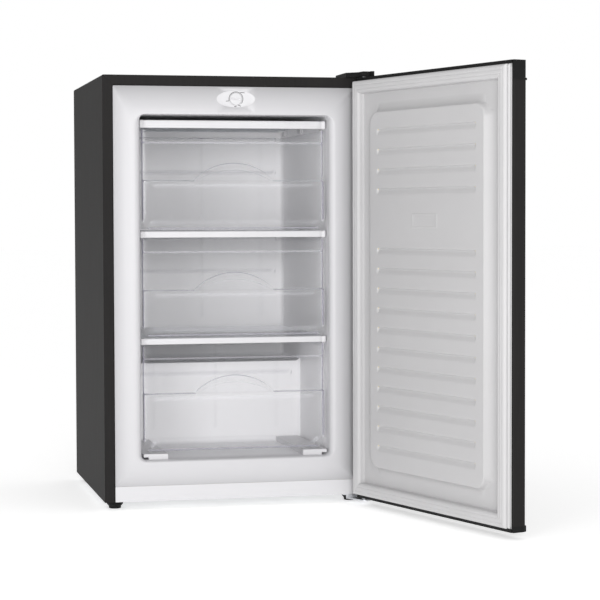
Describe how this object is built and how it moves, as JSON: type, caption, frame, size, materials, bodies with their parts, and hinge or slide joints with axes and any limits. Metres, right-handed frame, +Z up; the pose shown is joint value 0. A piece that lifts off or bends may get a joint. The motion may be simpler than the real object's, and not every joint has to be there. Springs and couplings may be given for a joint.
{
  "type": "under-counter freezer",
  "caption": "Upright under-counter freezer in black steel, standing open: hinged insulated door with magnetic gasket, clear pull-out drawers between shelves, thermostat knob and levelling feet.",
  "frame": {"origin": "on the floor, at the centre of the four feet", "axes": "+X to the right seen from the front, -Y out of the front, +Z up"},
  "size_m": [0.6808, 1.0176, 0.854],
  "materials": {
    "black_steel": "satin",
    "black_enamel": "satin",
    "galvanised": "satin",
    "zinc_steel": "satin",
    "aluminium": "satin",
    "copper": "satin",
    "foam": "matte",
    "white_plastic": "satin",
    "black_plastic": "matte",
    "clear_plastic": "gloss",
    "white_rubber": "satin",
    "black_rubber": "matte"
  },
  "bodies": {
    "cabinet": {"outer_shell": "black_steel", "back_panel": "galvanised", "base_pan": "galvanised", "bay_panel": "galvanised", "cabinet_foam": "foam", "inner_liner": "white_plastic", "kick_strip": "white_plastic", "thermostat_plate": "white_plastic", "thermostat_body": "black_plastic", "shelf_brackets": "white_plastic", "drawer_runners": "white_plastic", "compressor_shell": "black_enamel", "compressor_base": "black_enamel", "compressor_grommets": "black_rubber", "compressor_bolts": "zinc_steel", "terminal_cover": "black_plastic", "discharge_tube": "copper", "suction_tube": "copper", "capillary_tube": "copper", "liquid_tube": "copper", "filter_drier": "copper", "condenser_coil": "black_enamel", "condenser_wires": "black_enamel", "condenser_clips": "black_plastic", "cord_gland": "black_plastic", "rear_feet": "black_plastic", "foot_nuts": "zinc_steel", "top_hinge_bracket": "black_enamel", "top_hinge_pin": "zinc_steel", "top_hinge_screws": "zinc_steel", "top_hinge_cover": "black_plastic", "bottom_hinge_bracket": "zinc_steel", "bottom_hinge_pin": "zinc_steel", "bottom_hinge_screws": "zinc_steel", "shelf_plate_top": "aluminium", "evaporator_tube_top": "aluminium", "shelf_front_top": "white_plastic", "shelf_plate_middle": "aluminium", "evaporator_tube_middle": "aluminium", "shelf_front_middle": "white_plastic", "shelf_plate_bottom": "aluminium", "evaporator_tube_bottom": "aluminium", "shelf_front_bottom": "white_plastic"},
    "door": {"door_panel": "black_steel", "door_top_cap": "black_plastic", "door_bottom_cap": "black_plastic", "door_top_bush": "white_plastic", "door_bottom_bush": "white_plastic", "door_foam": "foam", "door_lining": "white_plastic", "door_gasket": "white_rubber"},
    "thermostat_knob": {"thermostat_knob": "white_plastic"},
    "front_left_foot": {"front_left_foot": "black_plastic"},
    "front_right_foot": {"front_right_foot": "black_plastic"},
    "drawer_top": {"drawer_tub_top": "clear_plastic", "drawer_front_top": "clear_plastic"},
    "drawer_middle": {"drawer_tub_middle": "clear_plastic", "drawer_front_middle": "clear_plastic"},
    "drawer_bottom": {"drawer_tub_bottom": "clear_plastic", "drawer_front_bottom": "clear_plastic"}
  },
  "joints": [
    {"name": "door_hinge", "type": "hinge", "parent": "cabinet", "child": "door", "pos_m": [0.2515, -0.2665, 0], "axis": [0, 0, 1], "range_deg": [-106.8, 23.2]},
    {"name": "drawer_top_slide", "type": "slide", "parent": "cabinet", "child": "drawer_top", "axis": [0, -1, 0], "range_m": [0, 0.3]},
    {"name": "drawer_middle_slide", "type": "slide", "parent": "cabinet", "child": "drawer_middle", "axis": [0, -1, 0], "range_m": [0, 0.3]},
    {"name": "drawer_bottom_slide", "type": "slide", "parent": "cabinet", "child": "drawer_bottom", "axis": [0, -1, 0], "range_m": [0, 0.19]},
    {"name": "thermostat_turn", "type": "hinge", "parent": "cabinet", "child": "thermostat_knob", "pos_m": [0, -0.24, 0.8005], "axis": [0, -1, 0], "range_deg": [-135, 135]},
    {"name": "front_left_foot_turn", "type": "hinge", "parent": "cabinet", "child": "front_left_foot", "pos_m": [-0.238, -0.2, 0], "axis": [0, 0, 1], "continuous": true},
    {"name": "front_right_foot_turn", "type": "hinge", "parent": "cabinet", "child": "front_right_foot", "pos_m": [0.238, -0.2, 0], "axis": [0, 0, 1], "continuous": true}
  ]
}
